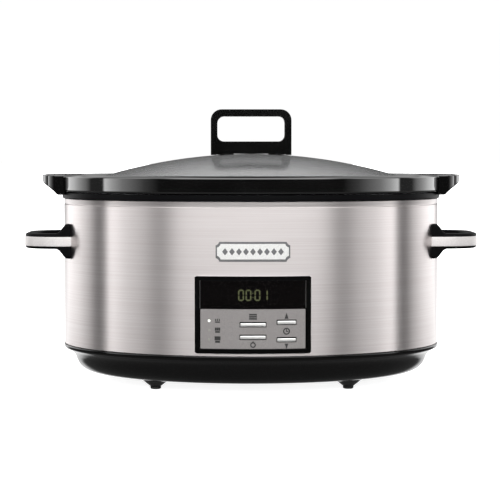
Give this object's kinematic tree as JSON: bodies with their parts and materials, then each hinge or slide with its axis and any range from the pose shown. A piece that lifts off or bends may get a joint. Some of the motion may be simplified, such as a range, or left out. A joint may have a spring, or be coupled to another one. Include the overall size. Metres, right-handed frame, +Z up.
{
  "type": "slow cooker",
  "caption": "Oval electric slow cooker with a steel-skinned heating base, lift-out glazed crock, domed glass lid, side grips and a front control panel.",
  "frame": {"origin": "on the table, under the middle of the cooker", "axes": "+Z up, -Y out of the front with the controls, +X to the right seen from the front"},
  "size_m": [0.4376, 0.286, 0.2635],
  "materials": {
    "shell_steel": "horizontally brushed stainless steel, satin",
    "black_plastic": "satin moulded heat-resistant plastic",
    "aluminised_steel": "plain aluminised sheet",
    "plated_steel": "zinc plated",
    "heater_cloth": "woven glass fibre heater sleeve",
    "circuit_board": "solder-masked glass epoxy",
    "grey_plastic": "satin moulded",
    "smoked_lens": "polished smoked acrylic",
    "lamp_plastic": "clear moulded",
    "badge_metal": "stamped, satin",
    "chromed_plastic": "chromed moulding",
    "black_glaze": "gloss black glazed stoneware",
    "lid_glass": "clear toughened glass",
    "gloss_plastic": "polished moulded phenolic",
    "rubber": "matt"
  },
  "bodies": {
    "base": {"outer_shell": "shell_steel", "right_grip_band": "shell_steel", "left_grip_band": "shell_steel", "base_pan": "black_plastic", "bottom_plate": "black_plastic", "top_trim_ring": "black_plastic", "panel_frame": "black_plastic", "right_grip": "black_plastic", "left_grip": "black_plastic", "relay": "black_plastic", "capacitor": "black_plastic", "mode_switch": "black_plastic", "power_switch": "black_plastic", "time_up_switch": "black_plastic", "time_down_switch": "black_plastic", "heating_well": "aluminised_steel", "heat_shield": "aluminised_steel", "heater_clamp": "plated_steel", "centre_stud": "plated_steel", "centre_nut": "plated_steel", "temperature_sensor": "plated_steel", "thermal_fuse": "plated_steel", "transformer": "plated_steel", "right_grip_screw_front": "plated_steel", "right_grip_screw_back": "plated_steel", "left_grip_screw_front": "plated_steel", "left_grip_screw_back": "plated_steel", "heater_band": "heater_cloth", "power_board": "circuit_board", "control_board": "circuit_board", "terminal_block": "grey_plastic", "ribbon_cable": "grey_plastic", "panel_fascia": "grey_plastic", "display_lens": "smoked_lens", "display_module": "lamp_plastic", "low_light": "lamp_plastic", "high_light": "lamp_plastic", "warm_light": "lamp_plastic", "badge": "badge_metal", "cord_gland": "rubber", "foot_front_right": "rubber", "foot_front_left": "rubber", "foot_back_right": "rubber", "foot_back_left": "rubber"},
    "crock": {"crock": "black_glaze"},
    "lid": {"lid_screw_left": "plated_steel", "lid_screw_right": "plated_steel", "lid_glass": "lid_glass", "lid_handle": "gloss_plastic", "lid_gasket_left": "rubber", "lid_gasket_right": "rubber", "lid_washer_left": "rubber", "lid_washer_right": "rubber"},
    "mode_button": {"mode_key": "chromed_plastic"},
    "power_button": {"power_key": "chromed_plastic"},
    "time_up_button": {"time_up_key": "chromed_plastic"},
    "time_down_button": {"time_down_key": "chromed_plastic"}
  },
  "joints": [
    {"name": "crock_lift", "type": "slide", "parent": "base", "child": "crock", "axis": [0, 0, 1], "range_m": [0, 0.2]},
    {"name": "lid_lift", "type": "slide", "parent": "crock", "child": "lid", "axis": [0, 0, 1], "range_m": [0, 0.12]},
    {"name": "mode_press", "type": "slide", "parent": "base", "child": "mode_button", "axis": [0, 1, 0], "range_m": [0, 0.001], "stiffness_N_per_m": 500, "springref_m": -0.0016},
    {"name": "power_press", "type": "slide", "parent": "base", "child": "power_button", "axis": [0, 1, 0], "range_m": [0, 0.001], "stiffness_N_per_m": 500, "springref_m": -0.0016},
    {"name": "time_up_press", "type": "slide", "parent": "base", "child": "time_up_button", "axis": [0, 1, 0], "range_m": [0, 0.001], "stiffness_N_per_m": 500, "springref_m": -0.0016},
    {"name": "time_down_press", "type": "slide", "parent": "base", "child": "time_down_button", "axis": [0, 1, 0], "range_m": [0, 0.001], "stiffness_N_per_m": 500, "springref_m": -0.0016}
  ]
}
